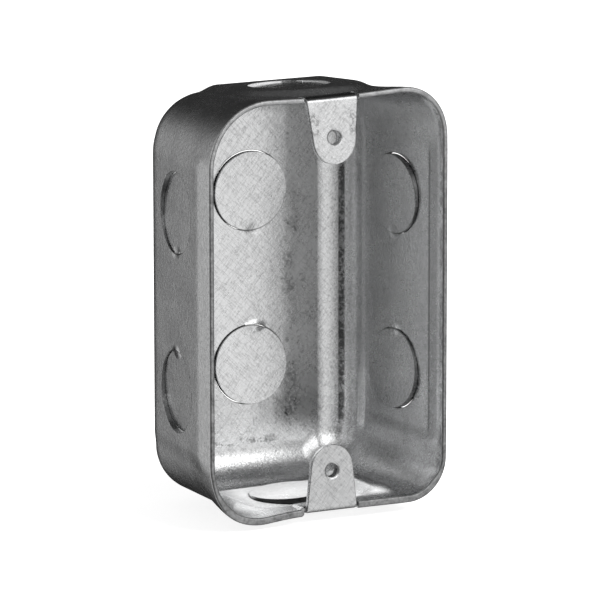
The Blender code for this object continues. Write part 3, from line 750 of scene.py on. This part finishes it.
def ear(name, turn):
    """The blank bent to shape: s runs forwards on the leg, round the bend, and inwards on the flat."""
    lean = EAR_LEAN[name]
    arc = EAR_BEND_MIDDLE * (math.pi / 2 - lean)
    s, w, height = ear_blank(arc)
    angle = np.clip((s - EAR_LEG) / EAR_BEND_MIDDLE, 0.0, arc / EAR_BEND_MIDDLE)
    radius = EAR_BEND_MIDDLE + EAR_SHEET / 2 - height
    past = np.maximum(s - EAR_LEG - arc, 0.0)
    rest_of_leg = EAR_LEG - np.minimum(s, EAR_LEG)
    y = (EAR_FRONT_Y + EAR_BEND + rest_of_leg - radius * np.sin(angle) - past * math.sin(lean)
         + np.zeros_like(w))
    z = EAR_BEND_Z + radius * np.cos(angle) - past * math.cos(lean) + np.zeros_like(w)
    made = ribbon_mesh(name, np.stack([w, y, z], axis=-1))
    made.data.transform(turn)

    pivot = Vector((0.0, EAR_FRONT_Y + EAR_BEND, EAR_BEND_Z))
    leaned = Matrix.Translation(pivot) @ Matrix.Rotation(-lean, 4, "X") @ Matrix.Translation(-pivot)
    place = turn @ leaned @ axes_frame(Vector((1, 0, 0)), Vector((0, 0, -1)), Vector((0, 1, 0)),
                                       (0.0, EAR_FRONT_Y, EAR_HOLE_SPACING / 2))
    collar_end = EAR_SHEET + COLLAR_HEIGHT
    collar = [(0.0, EAR_SHEET / 2), (COLLAR_DIAMETER / 2, EAR_SHEET / 2),
              (COLLAR_DIAMETER / 2, collar_end - COLLAR_BREAK),
              (COLLAR_DIAMETER / 2 - COLLAR_BREAK, collar_end), (0.0, collar_end)]
    boolean_all(made, "UNION", [turned_mesh(name + "_collar", collar, 48, place)])

    bore = TAPPED_BORE / 2
    lip = (BORE_MOUTH - TAPPED_BORE) / 2
    hole = [(0.0, -CUT_OVER), (bore + lip, -CUT_OVER)]
    hole += [(bore + lip - lip * math.sin(t), lip - lip * math.cos(t))
             for t in np.radians([12, 30, 50, 70, 90])]
    for start in np.arange(lip + THREAD_START, collar_end - THREAD_RUNOUT, THREAD_PITCH):
        hole += [(bore, start), (bore + THREAD_DEPTH, start + 0.35 * THREAD_PITCH),
                 (bore, start + 0.7 * THREAD_PITCH)]
    hole += [(bore, collar_end + CUT_OVER), (0.0, collar_end + CUT_OVER)]
    boolean_all(made, "DIFFERENCE", [turned_mesh(name + "_bore", hole, 48, place)])

    sloped = Matrix.Identity(4)
    sloped[2][0] = math.tan(EAR_SLOPE[name])
    made.data.transform(sloped)
    shade(made, math.radians(32.0))
    return made


shift = Matrix.Translation((EAR_SHIFT, 0.0, 0.0))
upper_ear = ear("upper_ear", shift)
lower_ear = ear("lower_ear", shift @ Matrix.Rotation(math.pi, 4, "Y"))

# Painted shade lies on the ears' bends, where the skin faces upwards at the very ends of the box
for piece in (upper_ear, lower_ear):
    y, z = vertex_array(piece.data, "co")[:, 1:].T
    upness = vertex_array(piece.data, "normal")[:, 2]
    on_bend = (y < -BOX_DEPTH + 2.0 * SHEET) & (np.abs(z) > BOX_HEIGHT / 2 - SHEET)
    shade_layer = piece.data.attributes.new("bend_grime", "FLOAT", "POINT")
    shade_layer.data.foreach_set("value", smooth_step((upness - 0.40) / 0.25) * on_bend)
    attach(piece, "root")
    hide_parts("wall_box")


# The galvanised finish. Hot zinc leaves a dull, cloudy skin with fine speckle all over. Shade is painted
# over the back's right third, in the creases, round the knockouts, on the lower right wall, on the ears and
# in their bores, a dark reflection and a highlight are painted on the right fillet, light is painted on the
# bottom's inside, dark blots lie on the back, the sheared rim is darker, and fine crossed scratches run over
# everything.

# Places on the box are in millimetres here, from the middle of the back's outer face
KNOCKOUT_LEVEL = KNOCKOUT_SPACING / 2 / MM
KNOCKOUT_IN = (BOX_DEPTH + SHEET) / 2 / MM
RING_RADIUS = (KNOCKOUT_HOLE - SHEAR_GAP) / 2 / MM
RING_HALF_WIDTH = (0.10, 0.32)
ELSEWHERE = 9.0
DIMPLE_LEVEL = 12.5
DIMPLE_SHIFT = 1.5
EAR_HOLE_LEVEL = EAR_HOLE_SPACING / 2 / MM
EAR_MIDDLE = EAR_SHIFT / MM
FILLET_AXIS_X = 19.8
FILLET_AXIS_Y = -BACK_FILLET / MM
CREASE_Y = (PANEL_FRONT_EDGE - BOX_DEPTH) / MM - 0.2
FOOT_LINE_Z = -42.3
TOP_TAB_BEARING = 62.0
BACK_SKIN = (-3.2, -1.9, -1.3, -0.9)
FLOOR_SKIN = (-53.2, -52.6, -50.2, -49.9)

galvanised = bpy.data.materials.new("galvanised_sheet")
galvanised.use_nodes = True
tree = galvanised.node_tree
tree.nodes.clear()
place = node(tree, "ShaderNodeTexCoord", {}, {}, "Object")
x, y, z = (node(tree, "ShaderNodeSeparateXYZ", {}, {0: place}, axis) * (1 / MM) for axis in "XYZ")
off_middle = z.absolute()


def noise(scale, detail, stretch=(1.0, 1.0, 1.0), turn=(0.0, 0.0, 0.0)):
    """Noise round 0, in the box's own space, stretched and turned to run as streaks."""
    at = node(tree, "ShaderNodeMapping", {"vector_type": "TEXTURE"}, {
        "Vector": place, "Rotation": turn, "Scale": stretch})
    return node(tree, "ShaderNodeTexNoise", {}, {
        "Vector": at, "Scale": scale, "Detail": detail, "Roughness": 0.6}) - 0.5


def scratched(angle):
    """Fine lines in one direction: where a noise that is drawn out along them crosses 0."""
    return noise(1000.0, 2.0, (1.0, 1.0, 10.0), (0.0, math.radians(angle), 0.0)).absolute().under(0.0, 0.04)


def distance(a, b):
    """Length of the offset (a, b)."""
    return (a * a + b * b) ** 0.5


cloud = noise(110.0, 5.0)
speckle = noise(1500.0, 2.0)
blot = noise(420.0, 4.0)
scratches = scratched(42.0) + scratched(-46.0)

# Inner face of the back: painted shade over its right third, with dark blots down the shade's left edge,
# pits, and a broken dark line where the back turns into the bottom fillet
wavy = x + 7.0 * cloud + 2.0 * blot
lower = z.under(-36.0, -22.0)
broad_shade = (0.20 * (wavy + 4.0 * lower).step(2.0, 9.0) + 0.27 * (wavy + 3.0 * lower).step(8.5, 12.0)
          + 0.10 * lower)
broad_shade = broad_shade * (1.0 - 0.7 * z.under(-42.0, -36.0)) * x.under(19.3, 20.1)
chain = (z.within(-8.5, -5.0, 4.5, 8.0) + z.within(-40.0, -35.0, -26.0, -20.0)
         + 0.5 * z.within(8.0, 13.0, 22.0, 29.0))
blots = chain * wavy.within(8.0, 10.0, 12.0, 16.0) * (0.6 * blot + speckle).step(-0.08, 0.10)
pits = (blot + 0.7 * speckle).step(0.14, 0.22)
foot_line = ((z - FOOT_LINE_Z).absolute().under(0.4, 1.4) * x.under(4.0, 10.0)
             * (blot + speckle).step(-0.02, 0.10))
on_back = y.within(*BACK_SKIN)
back_shade = (on_back * (broad_shade + 0.24 * blots + 0.22 * pits + 0.45 * foot_line)).clamp()

# Right back fillet: a painted dark reflection down it, and beyond that a painted highlight, a light line
# that widens at the foot. Both lie between two bearings round the fillet's own axis.
from_axis_x = x - FILLET_AXIS_X
from_axis_y = y - FILLET_AXIS_Y
turned = from_axis_x.math("ARCTAN2", from_axis_y) * (180 / math.pi)
on_fillet = x.step(20.0, 21.0) * (from_axis_x * from_axis_x + from_axis_y * from_axis_y).under(92.0, 100.0)
dark_reflection_band = (on_fillet * turned.within(33.0, 35.0, 43.0, 46.0) * y.absolute().under(9.5, 10.6)
         * z.step(-43.0, -37.0) * (0.40 + 0.60 * (blot + speckle).step(-0.08, 0.05)))
foot = z.under(-30.0, -18.0)
glint = (on_fillet * (turned + 9.0 * foot).step(76.5, 79.5) * turned.under(86.0, 89.5)
         * off_middle.under(38.0, 42.0) * (0.80 + 0.40 * foot) * (0.8 + 1.2 * speckle + 0.8 * cloud))

# Painted shade in the crease in front of the right flat and in every knockout's gap, and a speckled
# darkening just inside the right rim
crease_shade = (y - CREASE_Y).absolute().under(0.15, 0.60) * x.step(27.0, 29.0) * off_middle.under(34.0, 38.0)
inner_rim_dark = y.under(-43.4, -42.4) * x.step(29.0, 30.0) * (blot + 0.6 * speckle).step(-0.08, 0.08)
level_off = off_middle - KNOCKOUT_LEVEL
into = y + KNOCKOUT_IN
off_back = ELSEWHERE * y.under(-3.2, -2.4)
off_sides = ELSEWHERE * x.absolute().under(27.0, 29.0)
off_ends = ELSEWHERE * off_middle.under(48.0, 49.0)
ring_back = (distance(x, level_off) - RING_RADIUS).absolute() + off_back
ring_side = (distance(into, level_off) - RING_RADIUS).absolute() + off_sides
ring_end = (distance(x, into) - RING_RADIUS).absolute() + off_ends
ring = ring_back.math("MINIMUM", ring_side).math("MINIMUM", ring_end).under(*RING_HALF_WIDTH)

# The punch's mark: each tab is a small raised dimple, which catches the light on one flank
from_tab = off_middle - DIMPLE_LEVEL
tab_back = distance((x - DIMPLE_SHIFT) * 0.59, from_tab) + off_back
tab_side = distance(into * 0.71, from_tab) + off_sides
dimple = tab_back.math("MINIMUM", tab_side).under(0.2, 2.0)

# Painted light: a whiter, less mirror-like skin that brightens the bottom's inside and the top knockout's
# ring, and a painted shadow in the gap under the bottom disc's front edge
floor_light = (z.within(*FLOOR_SKIN) * y.within(-41.0, -36.0, -11.5, -10.5)
               * x.under(18.0, 22.0) * (0.45 + 0.55 * x.step(-15.0, -9.0)) * (0.85 + 0.5 * cloud))
floor_gap_shadow = ring_end.under(0.25, 0.50) * z.under(-49.5, -49.0) * y.under(-25.0, -21.0)
from_tab_bearing = (into.math("ARCTAN2", x) * (180 / math.pi) - TOP_TAB_BEARING).absolute()
top_skin = 53.33 - 0.0682 * (y + 37.7)
top_ring_light = (ring_end.under(0.25, 0.45) * z.step(50.0, 51.0) * from_tab_bearing.step(9.0, 12.0)
              * (z - top_skin).under(-0.2, -0.1))
painted_light = (0.95 * floor_light).math("MAXIMUM", 0.55 * top_ring_light).clamp() * (1.0 - floor_gap_shadow)

# The ears carry painted shade, more on the lower one, the upper one is marked at its root, and painted
# shadow darkens their bores
on_ears = y.under(-44.75, -44.60)
ear_shade = (0.22 - 0.10 * z.step(-1.0, 1.0)) * on_ears
marks = (on_ears * z.within(41.5, 43.5, 47.5, 49.0) * (x - 0.6).absolute().step(3.6, 4.6)
         * (0.8 * blot + speckle).step(-0.02, 0.08))
bore_shadow = (distance(x - EAR_MIDDLE, off_middle - EAR_HOLE_LEVEL).under(1.85, 2.05)
           * y.within(-44.7, -44.2, -41.0, -40.0))
wall_shade = x.step(24.0, 29.0) * z.under(-36.0, -22.0) * (1.0 + 2.0 * cloud)

worn = node(tree, "ShaderNodeAttribute", {"attribute_name": "rim_wear"}, {}, "Fac")
bend_grime = node(tree, "ShaderNodeAttribute", {"attribute_name": "bend_grime"}, {}, "Fac")
tone = 0.80 + 0.22 * cloud + 0.34 * speckle + 0.14 * blot - 0.13 * scratches
# Painted shade, a painted dark reflection and darker marks take the tone down, each by its depth
for mask, depth in ((back_shade, 1.0), (dark_reflection_band, 0.80), (crease_shade, 0.55), (inner_rim_dark, 0.45), (ring, 0.62),
                    (wall_shade, 0.34), (ear_shade, 1.0), (marks, 0.45), (bore_shadow, 0.8)):
    tone = tone * (1.0 - depth * mask)
# Painted light on the bottom's inside and the top ring, painted shadow under the bottom disc's front, and
# the fillet's painted highlight
tone = painted_light.mix(tone, 0.90 + 0.25 * speckle) * (1.0 - 0.88 * floor_gap_shadow)
tone = glint.clamp().mix(tone, 1.0)
tone = worn.mix(tone, 0.30 + 0.16 * z.step(20.0, 45.0) + 0.55 * blot + 0.45 * speckle)
# Painted shade on the ears' upward bends
tone = bend_grime.mix(tone, 0.10).clamp()
colour = node(tree, "ShaderNodeCombineColor", {}, {"Red": tone, "Green": tone * 1.005, "Blue": tone * 1.01})
rough = 0.24 + 0.20 * cloud + 0.16 * speckle + 0.20 * worn + 0.10 * back_shade - 0.05 * glint
grain = noise(1100.0, 3.0) + 0.12 * scratches + 7.0 * dimple * (1.0 - 1.5 * z.step(-1.0, 1.0))
bump = node(tree, "ShaderNodeBump", {}, {"Strength": 1.0, "Distance": 0.06 * MM, "Height": grain})
shader = node(tree, "ShaderNodeBsdfPrincipled", {}, {
    "Base Color": colour, "Metallic": 1.0 - painted_light, "Roughness": rough, "Normal": bump})
node(tree, "ShaderNodeOutputMaterial", {}, {"Surface": shader})

for piece in (drawn_cup, knockout_discs, upper_ear, lower_ear):
    piece.data.materials.clear()
    piece.data.materials.append(galvanised)
